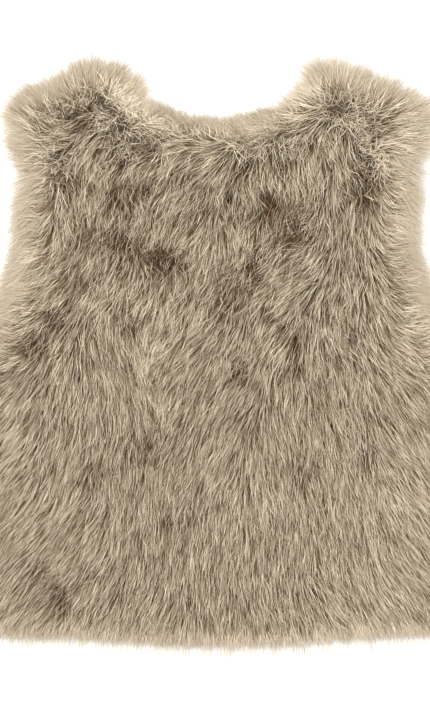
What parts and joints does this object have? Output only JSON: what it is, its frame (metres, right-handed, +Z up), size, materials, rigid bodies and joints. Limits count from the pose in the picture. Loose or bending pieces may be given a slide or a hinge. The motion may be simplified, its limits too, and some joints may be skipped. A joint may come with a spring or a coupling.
{
  "type": "faux fur vest",
  "caption": "Sleeveless child's vest of long-pile faux fur, laid flat with its back up, with a round neck, deep armholes and a flared straight hem.",
  "frame": {"origin": "middle of the vest's length and width, on the surface that it lies on", "axes": "+X across the back towards the wearer's right, +Y from the hem towards the shoulders, +Z up from the surface, out of the back's pile"},
  "size_m": [0.4185, 0.415, 0.0297],
  "materials": {
    "back_fur": "long-pile faux fur, dark brown at the root, grey-taupe along the pile and cream at the tips, combed towards the hem",
    "front_fur": "the same long-pile faux fur, pressed flat where the vest rests on it"
  },
  "bodies": {
    "root": {"back_panel": "back_fur", "front_left": "front_fur", "front_right": "front_fur"}
  },
  "joints": []
}
